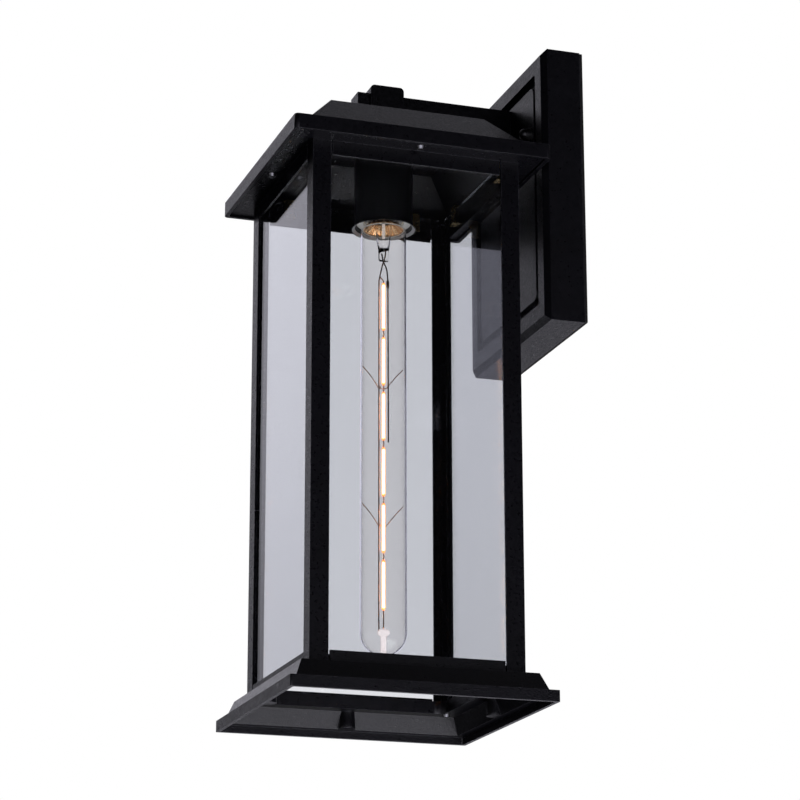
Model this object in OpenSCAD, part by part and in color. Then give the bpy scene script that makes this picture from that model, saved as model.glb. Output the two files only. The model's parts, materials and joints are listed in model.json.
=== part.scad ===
// Outdoor wall lantern with a screwed-in tubular lamp.
// Millimetres. The wall is the plane y = 0, the lantern stands out along -Y, and Z is up.
// The origin is the middle of the wall plate, on the wall.
// Modules named after a part draw it where it sits in the assembled lantern.

/* [Wall plate] */
// Width of the wall plate
plate_w = 142; // [138:1:160]
// Height of the wall plate
plate_h = 194; // [194:1:220]
// How far the plate's front stands from the wall
plate_d = 29.5; // [26:0.5:36]
// Width of the raised border round the plate's front
plate_border = 14; // [10:0.5:15]
// Width of the groove between the border and the middle panel
plate_groove = 6.2; // [4:0.2:6.4]
// Height of the two fixing studs above the plate's middle
stud_z = 43.5; // [40:0.5:47]

/* [Arm] */
// Distance from the wall to the lantern's axis
reach = 120; // [118:1:140]
// Width of the arm
arm_w = 15.4; // [15:0.2:18]
// Height of the arm
arm_h = 25.2; // [24:0.2:28]
// How far the arm runs past the lantern's axis
arm_nose = 20.8; // [18:0.2:30]
// Length of the collar round the arm
collar_l = 24; // [20:1:28]

/* [Lantern body] */
// How far the lantern's bottom edge hangs below the middle of the wall plate
drop = 356; // [350:1:380]
// Width of the roof over its eaves
roof_w = 177.8; // [176:0.2:190]
// Width of the base over its rim
base_w = 177; // [174:0.5:190]
// Width of the cage over its corner posts
cage_w = 143.4; // [142:0.2:146]
// Length of each leg of the corner posts
post_leg = 12.5; // [10:0.5:16]
// Height of the soffit above the base's bottom edge
soffit_z = 366.5; // [360:0.5:375]

/* [Lamp] */
// Diameter of the lamp's glass tube
tube_d = 31; // [28:0.5:32]
// Height of the lamp's lowest point above the base's bottom edge
tube_z = 40; // [38:1:60]
// Diameter of the socket cup
cup_d = 40; // [40:0.5:46]
// Number of filament sticks in the lamp
sticks = 6; // [4:1:6]

/* [Hidden] */
$fn = 96;
e = 0.5;                                // overshoot of a cut past a face

// Wall plate: everything the plate encloses is measured back from its front.
gasket_t = 2;
plate_wall = 2.6;
plate_chamfer = 3.7;
groove_t = 4;                           // groove floor below the border
panel_t = 1;                            // middle panel below the border
cavity_y = -(plate_d - 6);              // inner face behind the border and groove
pocket_y = -(plate_d - 4);              // inner face behind the middle panel
front_y = -(plate_d - panel_t);         // face of the middle panel
panel_w = plate_w - 2 * (plate_border + plate_groove);
panel_h = plate_h - 2 * (plate_border + plate_groove);
stud_x = 44.45;
stud_r = 2.05;
back_w = 112;                           // mounting plate behind the cover
back_h = 124;
back_t = 2;
slot_x = 39.7;
slot_l = 14;
slot_r = 2.2;
ground_at = [-30, -40];

// Lantern levels, measured up from the bottom edge of the base.
rim_h = 7.4;
rim_t = 2.6;
deck_z = 19.4;                          // top of the base's deck
deck_t = 2.8;
base_foot = base_w - 9.8;               // width at the foot of the base's slope
base_head = base_w - 19.8;              // width at the head of the base's slope
lip_t = 1.5;
lip_h = 7.9;
post_t = 1.6;
post_end = cage_w / 2 - post_leg;       // how far a rail reaches from the middle of a side
inner = cage_w / 2 - post_t;            // inner faces of the posts
glass_t = 2.8;
glass_out = inner - 0.15;               // outer face of the panes
upstand_out = glass_out - glass_t - 0.15;
upstand_t = 2;
upstand_z = 25.2;
lug = 5.4;                              // screw lug in each end of a post
lug_l = 11;
lug_at = inner - lug / 2;
glass_w = 2 * (inner - lug) - 1.4;
frame_t = 1.5;
top_lip_h = 10;
soffit_in = 1;                          // how far the soffit sits up inside the eaves, and in from them
eave_h = 10.1;
eave_t = 2.8;
roof_z = soffit_z - soffit_in + eave_h; // flat of the eaves
hip_foot = roof_w - 19.8;
hip_head = 108.4;
hip_h = 27;
hip_top = roof_z + hip_h;
glass_top = soffit_z + 6.5;
roof_screw_at = roof_w / 2 - 9.9;

// Arm levels, in the lantern's own frame.
seal_t = 0.8;
collar_floor = 3;
arm_z = hip_top + seal_t + collar_floor;
arm_top = arm_z + arm_h;
arm_mid = arm_z + arm_h / 2 - drop;     // arm's centre line above the plate's middle
arm_wall = 2.3;
arm_screw_dz = 8.6;
collar_w = 19.4;
collar_top = arm_top + 6;
nipple_r = 4.95;
nipple_bore = 3.8;

// Socket and lamp levels, in the lantern's own frame.
ceiling_z = hip_top - eave_t;
washer_t = 1.2;
nut_h = 3.6;
cup_z = 335;
cup_h = 51.6;
cup_t = 1;
cup_lip = 2;                            // how far the flared mouth stands out
holder_r = 18.6;
holder_z = cup_z + 4.5;
holder_top = cup_z + 46.5;
shell_r = 13.85;
shell_t = 0.5;
cap_r = 13;
cap_z = cup_z + 6;
cap_h = 22.5;
tip_z = cap_z + 27.5;
tube_r = tube_d / 2;
tube_t = 0.9;
neck_r = 12.1;
stick_pitch = 38.5;
stick_l = 34.2;
stick_r = 1.25;
stick_top = 297;
bead_z = 53;

// Leads: the live one from the lampholder to its connector, and the one from the ground screw.
// The neutral lead is the live one's mirror image.
lead_r = 1.05;
connector_at = [[24, -13.5, 4], [-24, -13.5, 4], [4, -13.5, -44]];
live_route = [[4.6, -reach, 15.2], [2.2, -reach, 18.2], [1.6, -reach, 26], [1.5, -reach, 50],
              [1.5, -reach + 1, 59], [1.5, -reach + 6, 64], [1.6, -reach + 16, arm_mid + 1],
              [1.6, -70, arm_mid], [1.6, -40, arm_mid], [1.7, -24, arm_mid - 0.5],
              [5, -15, arm_mid - 6], [16, -13.5, 44], [23, -13.5, 34], [24, -13.5, 24],
              [24, -13.5, 14]];
ground_route = [[ground_at[0] + 1.5, -7, ground_at[1] + 3], [-25, -9.5, -26], [-14, -12.5, -12],
                [-1, -13.5, -14], [4, -13.5, -24], [4, -13.5, -34]];

coat = [0.08, 0.08, 0.09];
zinc = [0.72, 0.73, 0.74];
brass = [0.80, 0.64, 0.33];
clear = [0.78, 0.84, 0.88, 0.35];
green = [0.15, 0.5, 0.25];
rubber = [0.1, 0.1, 0.1];
white = [0.92, 0.92, 0.89];
quarter_turns = [0, 90, 180, 270];

// ---------- shared shapes ----------

// Moves into the lantern's own frame: its axis, and the height above the base's bottom edge.
module in_lantern(z = 0) translate([0, -reach, z - drop]) children();

// A block in the XY plane with rounded upright edges.
module round_block(w, d, h, r) {
    translate([-w / 2 + r, -d / 2, 0]) cube([w - 2 * r, d, h]);
    translate([-w / 2, -d / 2 + r, 0]) cube([w, d - 2 * r, h]);
    for (x = [-1, 1], y = [-1, 1])
        translate([x * (w / 2 - r), y * (d / 2 - r), 0]) cylinder(h = h, r = r);
}

// The same block standing on the wall plane, growing towards the lantern from y = far to y = near.
module wall_block(w, h, near, far, r)
    translate([0, far, 0]) rotate([90, 0, 0]) round_block(w, h, far - near, r);

// A block of square or oblong plan whose sides lean in evenly from bottom to top.
module lean_block(w, d, lean, h) {
    intersection() {
        rotate([90, 0, 0]) linear_extrude(height = d + 2, center = true)
            polygon([[-w / 2, 0], [w / 2, 0], [w / 2 - lean, h], [-w / 2 + lean, h]]);
        rotate([90, 0, 90]) linear_extrude(height = w + 2, center = true)
            polygon([[-d / 2, 0], [d / 2, 0], [d / 2 - lean, h], [-d / 2 + lean, h]]);
    }
}

// A block whose top edges are cut off at 45 degrees.
module chamfered_block(w, d, h, c) {
    translate([-w / 2, -d / 2, 0]) cube([w, d, h - c]);
    translate([0, 0, h - c]) lean_block(w, d, c, c);
}

// A rod along Y from y = near (nearest the lantern) to y = far.
module rod_y(x, z, near, far, r)
    translate([x, far, z]) rotate([90, 0, 0]) cylinder(h = far - near, r = r);

// A pan-head screw with its head below z = 0 and its shank going up.
module pan_screw(r, l, head_r, head_h) {
    difference() {
        union() {
            cylinder(h = l, r = r);
            translate([0, 0, -head_h]) cylinder(h = head_h, r1 = head_r * 0.8, r2 = head_r);
        }
        for (a = [0, 90]) rotate([0, 0, a])
            translate([-head_r * 0.55, -0.4, -head_h - e]) cube([head_r * 1.1, 0.8, e + head_h * 0.45]);
    }
}

// A hexagonal nut, given by the width across its flats.
module hex_nut(flats, h, hole_r) {
    difference() {
        cylinder(h = h, r = flats / sqrt(3), $fn = 6);
        translate([0, 0, -e]) cylinder(h = h + 2 * e, r = hole_r);
    }
}

// ---------- round leads ----------

function unit(v) = v / norm(v);
function spline(a, b, c, d, t) =
    0.5 * ((2 * b) + (c - a) * t + (2 * a - 5 * b + 4 * c - d) * t * t
           + (3 * b - a - 3 * c + d) * t * t * t);
function smooth(p, steps) = let (n = len(p) - 1) concat(
    [for (i = [0 : n - 1], s = [0 : steps - 1])
        spline(p[max(i - 1, 0)], p[i], p[i + 1], p[min(i + 2, n)], s / steps)],
    [p[n]]);
function tangent(p, i) = unit(p[min(i + 1, len(p) - 1)] - p[max(i - 1, 0)]);
function side_at(p, i) = i == 0
    ? unit(cross(tangent(p, 0), [0.31, 0.95, 0.07]))
    : let (s = side_at(p, i - 1), t = tangent(p, i)) unit(s - (s * t) * t);

// A round lead of radius r swept along the smoothed points.
module lead(points, r, sides = 8) {
    path = smooth(points, 4);
    rings = len(path);
    ring_points = [for (i = [0 : rings - 1])
        let (t = tangent(path, i), s = side_at(path, i), u = cross(t, s))
        for (k = [0 : sides - 1])
            path[i] + r * (cos(360 * k / sides) * s + sin(360 * k / sides) * u)];
    walls = [for (i = [0 : rings - 2], k = [0 : sides - 1])
        [i * sides + k, (i + 1) * sides + k,
         (i + 1) * sides + (k + 1) % sides, i * sides + (k + 1) % sides]];
    ends = [[for (k = [0 : sides - 1]) k],
            [for (k = [sides - 1 : -1 : 0]) (rings - 1) * sides + k]];
    polyhedron(points = ring_points, faces = concat(walls, ends), convexity = 10);
}

// ---------- on the wall ----------

module wall_plate() color(coat) difference() {
    union() {
        difference() {
            translate([0, -gasket_t, 0]) rotate([90, 0, 0])
                chamfered_block(plate_w, plate_h, plate_d - gasket_t, plate_chamfer);
            wall_block(plate_w - 2 * plate_border, plate_h - 2 * plate_border,
                       -plate_d - e, -plate_d + groove_t, 2.5);
        }
        wall_block(panel_w, panel_h, front_y, cavity_y, 5);
    }
    wall_block(plate_w - 2 * plate_wall, plate_h - 2 * plate_wall, cavity_y, e, 3);
    wall_block(panel_w - 4, panel_h - 3, pocket_y, cavity_y + e, 3);
    for (x = [-stud_x, stud_x]) rod_y(x, stud_z, -plate_d, 0, stud_r + 0.25);
    for (z = [-arm_screw_dz, arm_screw_dz]) rod_y(0, arm_mid + z, -plate_d, 0, 2.2);
    rod_y(0, arm_mid, -plate_d, 0, 4.6);
}

module wall_gasket() color(rubber) difference() {
    wall_block(plate_w - 0.4, plate_h - 0.4, -gasket_t, 0, 1);
    wall_block(plate_w - 18, plate_h - 18, -gasket_t - e, e, 3);
}

module mounting_plate() color(zinc) difference() {
    wall_block(back_w, back_h, -back_t, 0, 4);
    rod_y(0, 0, -back_t - e, e, 19);
    for (x = [-stud_x, stud_x]) rod_y(x, stud_z, -back_t - e, e, stud_r + 0.05);
    rod_y(ground_at[0], ground_at[1], -back_t - e, e, 2.05);
    for (a = quarter_turns) rotate([0, a, 0])
        for (x = [-1, 1]) rod_y(slot_x + x * (slot_l / 2 - slot_r), 0, -back_t - e, e, slot_r);
    for (a = quarter_turns) rotate([0, a, 0])
        translate([slot_x - slot_l / 2 + slot_r, -back_t - e, -slot_r])
            cube([slot_l - 2 * slot_r, back_t + 2 * e, 2 * slot_r]);
}

module plate_studs() color(zinc)
    for (x = [-stud_x, stud_x]) rod_y(x, stud_z, front_y - 5, -0.2, stud_r);

module cap_nuts() color(coat)
    for (x = [-stud_x, stud_x]) translate([x, front_y, stud_z]) rotate([90, 0, 0]) difference() {
        union() {
            cylinder(h = 1.2, r = 5.4);
            cylinder(h = 4.2, r = 4.6);
            translate([0, 0, 4.2]) sphere(r = 4);
        }
        translate([0, 0, -e]) cylinder(h = 6, r = stud_r + 0.05);
    }

module ground_screw() color(green)
    translate([ground_at[0], -back_t, ground_at[1]]) rotate([-90, 0, 0])
        pan_screw(2, back_t - 0.2, 4.4, 3.2);

// Twist-on connectors, mouth up, inside the wall plate.
module wire_connectors() for (i = [0 : 2])
    color([rubber, white, green][i])
        translate(connector_at[i]) difference() {
            union() {
                cylinder(h = 4, r1 = 3.6, r2 = 4.4);
                translate([0, 0, 4]) cylinder(h = 16, r1 = 4.4, r2 = 6.2);
                for (a = [0, 180]) rotate([0, 0, a]) translate([4, -1, 6]) cube([4, 2, 11]);
            }
            translate([0, 0, 7]) cylinder(h = 14, r1 = 2.2, r2 = 4.6);
        }

module lead_black() color(rubber) lead(live_route, lead_r);
module lead_white() color(white) mirror([1, 0, 0]) lead(live_route, lead_r);
module lead_ground() color(green) lead(ground_route, lead_r);

// ---------- arm ----------

module arm() color(coat) difference() {
    translate([-arm_w / 2, -reach - arm_nose, arm_z - drop])
        cube([arm_w, reach + arm_nose + front_y, arm_h]);
    difference() {
        translate([-arm_w / 2 + arm_wall, -reach - arm_nose + 4, arm_z + arm_wall - drop])
            cube([arm_w - 2 * arm_wall, reach + arm_nose + front_y, arm_h - 2 * arm_wall]);
        in_lantern(arm_z) round_block(arm_w, collar_l - 2, 8, 1);
        for (z = [-arm_screw_dz, arm_screw_dz]) rod_y(0, arm_mid + z, front_y - 14, front_y, 3.9);
    }
    for (z = [-arm_screw_dz, arm_screw_dz]) rod_y(0, arm_mid + z, front_y - 12, front_y + e, 2);
    in_lantern(arm_z - e) cylinder(h = 9 + e, r = nipple_r + 0.05);
}

module arm_screws() color(zinc) for (z = [-arm_screw_dz, arm_screw_dz])
    translate([0, pocket_y, arm_mid + z]) rotate([90, 0, 0]) pan_screw(1.95, 14, 3.4, 2.4);

// The collar wraps the arm; its two top corners are rounded.
module arm_collar() color(coat) in_lantern(hip_top + seal_t) difference() {
    rotate([90, 0, 90]) linear_extrude(height = collar_w, center = true) {
        corner = 3;
        height = collar_top - hip_top - seal_t;
        translate([-collar_l / 2, 0]) square([collar_l, height - corner]);
        translate([-collar_l / 2 + corner, 0]) square([collar_l - 2 * corner, height]);
        for (s = [-1, 1]) translate([s * (collar_l / 2 - corner), height - corner]) circle(r = corner);
    }
    translate([-arm_w / 2 - 0.1, -collar_l, collar_floor - 0.1])
        cube([arm_w + 0.2, 2 * collar_l, arm_h + 0.2]);
    translate([0, 0, -e]) cylinder(h = collar_floor + 2 * e, r = nipple_r + 0.25);
}

module roof_seal() color(rubber) in_lantern(hip_top) difference() {
    round_block(collar_w - 2, collar_l - 2, seal_t, 2);
    translate([0, 0, -e]) cylinder(h = seal_t + 2 * e, r = nipple_r + 0.25);
}

module nipple() color(zinc) in_lantern(holder_top - 6) difference() {
    length = arm_z + 10 - holder_top + 6;
    cylinder(h = length, r = nipple_r);
    translate([0, 0, -e]) cylinder(h = length + 2 * e, r = nipple_bore);
}

// Nuts under the ceiling and on both sides of the cup's top.
module nipple_nuts() color(zinc)
    for (z = [ceiling_z - washer_t - nut_h - 0.1, cup_z + cup_h + washer_t + 0.1,
              cup_z + cup_h - cup_t - nut_h - 0.1])
        in_lantern(z) hex_nut(14, nut_h, nipple_r + 0.05);

module nipple_washers() color(zinc)
    for (z = [ceiling_z - washer_t, cup_z + cup_h]) in_lantern(z) difference() {
        cylinder(h = washer_t, r = 9.5);
        translate([0, 0, -e]) cylinder(h = washer_t + 2 * e, r = nipple_r + 0.2);
    }

// ---------- roof and cage ----------

module roof() color(coat) in_lantern(soffit_z - soffit_in) difference() {
    union() {
        difference() {
            union() {
                round_block(roof_w, roof_w, eave_h, 3);
                translate([0, 0, eave_h]) lean_block(hip_foot, hip_foot, (hip_foot - hip_head) / 2, hip_h);
            }
            translate([0, 0, -e])
                round_block(roof_w - 2 * eave_t, roof_w - 2 * eave_t, eave_h - eave_t + e, 2);
            translate([0, 0, eave_h - eave_t])
                lean_block(hip_foot - 2.4, hip_foot - 2.4, (hip_foot - hip_head) / 2, hip_h);
        }
        for (a = quarter_turns) rotate([0, 0, a]) translate([roof_screw_at, 0, soffit_in + frame_t])
            cylinder(h = eave_h - eave_t - soffit_in - frame_t + 0.3, r = 4.2);
    }
    for (a = quarter_turns) rotate([0, 0, a]) translate([roof_screw_at, 0, -e])
        cylinder(h = eave_h - 0.8, r = 1.95);
    translate([0, 0, eave_h]) cylinder(h = hip_h + e, r = nipple_r + 0.25);
}

module roof_screws() color(coat) in_lantern(soffit_z)
    for (a = quarter_turns) rotate([0, 0, a]) translate([roof_screw_at, 0, 0]) pan_screw(1.9, 7.4, 3, 2);

// Pressed sheet frame: soffit, rails between the post heads and a turned-up edge behind the panes.
module top_frame() color(coat) in_lantern(soffit_z) difference() {
    width = roof_w - 2 * (eave_t + soffit_in);
    opening = 2 * inner + 0.2;
    union() {
        round_block(width, width, frame_t, 2);
        for (a = quarter_turns) rotate([0, 0, a])
            translate([cage_w / 2 - lip_t, -post_end + 1, -top_lip_h])
                cube([lip_t, 2 * post_end - 2, top_lip_h + 8]);
    }
    difference() {
        translate([-opening / 2, -opening / 2, -e]) cube([opening, opening, frame_t + 2 * e]);
        for (x = [-1, 1], y = [-1, 1])
            translate([x * inner, y * inner, -1]) cube([11.4, 11.4, 6], center = true);
    }
    for (x = [-1, 1], y = [-1, 1])
        translate([x * lug_at, y * lug_at, -e]) cylinder(h = frame_t + 2 * e, r = 1.6);
    for (a = quarter_turns) rotate([0, 0, a])
        translate([roof_screw_at, 0, -e]) cylinder(h = frame_t + 2 * e, r = 2.2);
}

// Screws from above, through the frame into the posts.
module post_screws() color(zinc) in_lantern(soffit_z + frame_t)
    for (x = [-1, 1], y = [-1, 1])
        translate([x * lug_at, y * lug_at, 0]) rotate([180, 0, 0]) pan_screw(1.45, 8, 2.6, 1.8);

// The corner at +X, +Y; the others are turned into place.
module post(turn) color(coat) in_lantern() rotate([0, 0, turn]) difference() {
    union() {
        for (m = [0, 1]) mirror([m, -m, 0])
            translate([post_end, inner, deck_z]) cube([post_leg, post_t, soffit_z - deck_z]);
        for (z = [deck_z, soffit_z - lug_l])
            translate([inner - lug, inner - lug, z]) cube([lug + post_t, lug + post_t, lug_l]);
    }
    for (z = [deck_z - e, soffit_z - lug_l + 1])
        translate([lug_at, lug_at, z]) cylinder(h = lug_l - 1 + e, r = 1.5);
}
module back_right_post() post(0);
module back_left_post() post(90);
module front_left_post() post(180);
module front_right_post() post(270);

// The pane on the +X side; the others are turned into place.
module pane(turn) color(clear) in_lantern(deck_z + 0.2) rotate([0, 0, turn])
    translate([glass_out - glass_t, -glass_w / 2, 0]) cube([glass_t, glass_w, glass_top - deck_z - 0.2]);
module right_glass() pane(0);
module back_glass() pane(90);
module left_glass() pane(180);
module front_glass() pane(270);

// Spring clips pushed over the frame's turned-up edge and the head of each pane.
module glass_clips() color(brass) in_lantern(soffit_z) for (a = quarter_turns, s = [-1, 1])
    rotate([0, 0, a]) translate([0, s * 45, 0]) {
        clip_t = 0.6;
        clip_w = 8;
        outside = cage_w / 2 + 0.1;
        inside = glass_out - glass_t - 0.1;
        translate([outside, -clip_w / 2, 2.5]) cube([clip_t, clip_w, 6.2 + clip_t]);
        translate([inside - clip_t, -clip_w / 2, -4]) cube([clip_t, clip_w, 12.7 + clip_t]);
        translate([inside - clip_t, -clip_w / 2, 8.7]) cube([outside - inside + 2 * clip_t, clip_w, clip_t]);
        translate([inside - clip_t - 1.4, -clip_w / 2, -4]) cube([1.5, clip_w, clip_t]);
    }

module base_outside() {
    round_block(base_w, base_w, rim_h, 1.2);
    translate([0, 0, rim_h]) lean_block(base_foot, base_foot, (base_foot - base_head) / 2, deck_z - rim_h);
}

module base() color(coat) in_lantern() difference() {
    union() {
        difference() {
            base_outside();
            difference() {
                union() {
                    translate([0, 0, -e]) round_block(base_w - 2 * rim_t, base_w - 2 * rim_t, 5 + e, 1);
                    translate([0, 0, 5 - 0.01])
                        lean_block(base_foot - 7.4, base_foot - 7.4, 4.2, deck_z - deck_t - 5 + 0.01);
                }
                for (a = quarter_turns) rotate([0, 0, a]) translate([base_foot / 2 - 6.2, 0, 5])
                    cylinder(h = deck_z, r1 = 5.7, r2 = 4.4);
            }
        }
        for (a = quarter_turns) rotate([0, 0, a])
            translate([inner, -post_end + 1, deck_z - 0.5]) cube([lip_t, 2 * post_end - 2, lip_h + 0.5]);
        translate([0, 0, deck_z - 0.5])
            round_block(2 * upstand_out, 2 * upstand_out, upstand_z - deck_z + 0.5, 9);
    }
    translate([0, 0, deck_z - deck_t - e])
        round_block(2 * (upstand_out - upstand_t), 2 * (upstand_out - upstand_t), upstand_z, 7);
    for (x = [-1, 1], y = [-1, 1]) translate([x * lug_at, y * lug_at, 0]) cylinder(h = deck_z + e, r = 1.6);
}

module base_screws() color(zinc) in_lantern(deck_z - deck_t)
    for (x = [-1, 1], y = [-1, 1]) translate([x * lug_at, y * lug_at, 0]) pan_screw(1.45, 11, 2.7, 1.8);

// ---------- socket ----------

module socket_cup() color(coat) in_lantern(cup_z) difference() {
    union() {
        cylinder(h = cup_h, d = cup_d);
        cylinder(h = cup_lip, d1 = cup_d + 2 * cup_lip, d2 = cup_d);
    }
    translate([0, 0, -e]) cylinder(h = cup_h - cup_t + e, d = cup_d - 2 * cup_t);
    translate([0, 0, -0.01])
        cylinder(h = cup_lip + 0.01, d1 = cup_d + 2 * (cup_lip - cup_t * 0.6), d2 = cup_d - 2 * cup_t);
    cylinder(h = cup_h + e, r = nipple_r + 0.2);
}

module lampholder_body() color(white) in_lantern() difference() {
    union() {
        translate([0, 0, holder_z]) cylinder(h = 30, r = holder_r);
        translate([0, 0, holder_z + 30]) cylinder(h = 6, r1 = holder_r, r2 = 13);
        translate([0, 0, holder_z + 36]) cylinder(h = holder_top - holder_z - 36, r = 9);
    }
    translate([0, 0, holder_z - e]) cylinder(h = 27.4 + e, r = shell_r + 0.15);
    translate([0, 0, holder_z]) cylinder(h = 34, r = 8.2);
    translate([0, 0, holder_z + 30]) cylinder(h = holder_top, r = nipple_r + 0.1);
}

module lampholder_shell() color(brass) in_lantern(cap_z + 1) difference() {
    cylinder(h = 24.6, r = shell_r);
    translate([0, 0, -e]) cylinder(h = 24.1 + e, r = shell_r - shell_t);
    cylinder(h = 30, r = 7.5);
}

module lampholder_contact() color(brass) in_lantern(tip_z + 0.3) {
    cylinder(h = 0.7, r = 4.2);
    translate([0, 0, 0.7]) cylinder(h = 1.6, r = 2.2);
    translate([-2, -8, 1.7]) cube([4, 8, 0.6]);
}

// ---------- lamp ----------

module bulb_cap() color(zinc) in_lantern(cap_z) difference() {
    union() {
        cylinder(h = cap_h - 3, r = cap_r);
        translate([0, 0, cap_h - 3]) cylinder(h = 3, r1 = cap_r, r2 = 9.6);
    }
    translate([0, 0, -e]) cylinder(h = cap_h - 3 + e, r = cap_r - 0.6);
    cylinder(h = cap_h + e, r = 6);
}

module bulb_insulator() color(coat) in_lantern(cap_z + cap_h)
    difference() {
        cylinder(h = 3.3, r1 = 9.4, r2 = 5.2);
        translate([0, 0, -e]) cylinder(h = 5, r = 1);
    }

module bulb_contact() color(zinc) in_lantern(tip_z - 1.6) {
    cylinder(h = 0.8, r = 4.6);
    translate([0, 0, 0.8]) cylinder(h = 0.8, r1 = 4.6, r2 = 3);
}

// The tube's outline shrunk by t: a round end, a straight tube and a neck drawn in to the cap.
module tube_solid(t) {
    shoulder_z = cap_z - 7;
    shoulder_h = 4;
    translate([0, 0, tube_z + tube_r]) sphere(r = tube_r - t);
    translate([0, 0, tube_z + tube_r]) cylinder(h = shoulder_z - tube_z - tube_r, r = tube_r - t);
    translate([0, 0, shoulder_z]) cylinder(h = shoulder_h, r1 = tube_r - t, r2 = neck_r - t);
    translate([0, 0, shoulder_z + shoulder_h]) cylinder(h = 9, r = neck_r - t);
}

module bulb_glass() color(clear) in_lantern() difference() {
    tube_solid(0);
    tube_solid(tube_t);
    translate([0, 0, cap_z + 5]) cylinder(h = 4, r = neck_r - tube_t);
}

// The stem that the wires are sealed in, and the beaded glass rod that steadies their lower ends.
module bulb_stem() color(clear) in_lantern() {
    translate([0, 0, tube_z + tube_t + 0.4]) cylinder(h = bead_z - tube_z - tube_t - 0.4, r = 2);
    translate([0, 0, bead_z]) cylinder(h = 2.4, r1 = 2, r2 = 4.4);
    translate([0, 0, bead_z + 2.4]) cylinder(h = 2.6, r1 = 4.4, r2 = 2.6);
    translate([0, 0, cap_z + 2]) cylinder(h = 4, r1 = 5.6, r2 = 11);
    translate([0, 0, cap_z - 10]) cylinder(h = 12, r1 = 3.4, r2 = 5.6);
    translate([0, 0, cap_z - 18]) cylinder(h = 8, r = 3.4);
    translate([-1.3, -3.6, cap_z - 29]) cube([2.6, 7.2, 12]);
}

module bulb_filaments() color([1, 0.72, 0.35]) in_lantern() for (i = [0 : sticks - 1])
    translate([0, 0, stick_top - stick_l - i * stick_pitch]) cylinder(h = stick_l, r = stick_r, $fn = 24);

// Wires that hold and feed the sticks, with two pairs of springs that steady them in the tube.
module bulb_supports() color([0.55, 0.42, 0.32]) in_lantern() {
    foot = bead_z + 5.1;
    press = cap_z - 29.1;
    for (i = [0 : sticks]) translate([0, 0, stick_top + 0.15 - i * stick_pitch])
        cylinder(h = stick_pitch - stick_l - 0.3, r = 0.5, $fn = 16);
    translate([0, -3.2, foot]) cylinder(h = press - foot, r = 0.45, $fn = 16);
    translate([0, 0, foot])
        cylinder(h = stick_top + 0.2 - sticks * stick_pitch - foot, r = 0.5, $fn = 16);
    translate([0, 0, stick_top + 4]) cylinder(h = press - stick_top - 4, r = 0.45, $fn = 16);
    translate([0, 3, stick_top - 112]) cylinder(h = press - stick_top + 112, r = 0.4, $fn = 16);
    for (z = [stick_top - 74, stick_top - 169]) translate([-1.9, 0, z]) {
        rotate([90, 0, 0]) cylinder(h = 5.2, r = 0.3, center = true, $fn = 16);
        for (s = [-1, 1]) translate([0, s * 2.4, 0]) rotate([s * -42, 0, 0])
            cylinder(h = 16.6, r = 0.3, $fn = 16);
    }
}

wall_plate();
wall_gasket();
mounting_plate();
plate_studs();
cap_nuts();
ground_screw();
wire_connectors();
lead_black();
lead_white();
lead_ground();
arm();
arm_screws();
arm_collar();
roof_seal();
nipple();
nipple_nuts();
nipple_washers();
roof();
roof_screws();
top_frame();
post_screws();
front_left_post();
front_right_post();
back_left_post();
back_right_post();
front_glass();
back_glass();
left_glass();
right_glass();
glass_clips();
base();
base_screws();
socket_cup();
lampholder_body();
lampholder_shell();
lampholder_contact();
bulb_cap();
bulb_insulator();
bulb_contact();
bulb_glass();
bulb_stem();
bulb_filaments();
bulb_supports();
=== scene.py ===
"""Looks for the outdoor wall lantern: finishes on its CAD nodes, finer pieces for lamp, leads and wiring."""
import json
import math

import bmesh
import bpy
from mathutils import Matrix, Vector


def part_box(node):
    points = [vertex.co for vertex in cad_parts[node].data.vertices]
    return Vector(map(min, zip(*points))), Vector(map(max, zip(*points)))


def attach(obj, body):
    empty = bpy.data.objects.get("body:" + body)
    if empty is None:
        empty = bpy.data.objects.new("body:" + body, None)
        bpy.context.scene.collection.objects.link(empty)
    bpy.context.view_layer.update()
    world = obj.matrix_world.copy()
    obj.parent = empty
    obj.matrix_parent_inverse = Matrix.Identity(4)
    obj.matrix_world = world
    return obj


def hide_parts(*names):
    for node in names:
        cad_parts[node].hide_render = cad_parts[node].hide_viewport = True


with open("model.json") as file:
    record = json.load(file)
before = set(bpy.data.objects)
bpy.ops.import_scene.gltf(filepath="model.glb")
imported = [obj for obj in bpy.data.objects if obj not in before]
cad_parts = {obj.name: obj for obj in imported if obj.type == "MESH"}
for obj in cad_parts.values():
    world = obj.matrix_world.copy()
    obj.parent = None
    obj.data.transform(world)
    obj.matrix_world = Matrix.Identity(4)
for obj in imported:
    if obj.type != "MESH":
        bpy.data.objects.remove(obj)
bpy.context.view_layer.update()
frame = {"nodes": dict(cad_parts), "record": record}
nodes = frame["nodes"]

MM = 0.001

# The lantern's own frame: its upright axis, and heights in millimetres above the bottom edge of the base.
base_low, base_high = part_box("base")
AXIS_X = (base_low.x + base_high.x) / 2
AXIS_Y = (base_low.y + base_high.y) / 2
FOOT = base_low.z


def at(x, y, z):
    """A point in metres from millimetres off the lantern's axis and above the base's bottom edge."""
    return Vector((AXIS_X + x * MM, AXIS_Y + y * MM, FOOT + z * MM))


def height_of(z):
    """Millimetres above the base's bottom edge of a height in the row frame."""
    return (z - FOOT) / MM


# ---------- camera, at the photo's angle ----------

CAMERA_AT = (1.6831, -0.6737, -0.6680)
CAMERA_YAW = 71.422                      # 0 looks along +Y, 90 along -X
CAMERA_PITCH = 16.549
CAMERA_ROLL = -0.094
CAMERA_LENS = 124.16

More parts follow.
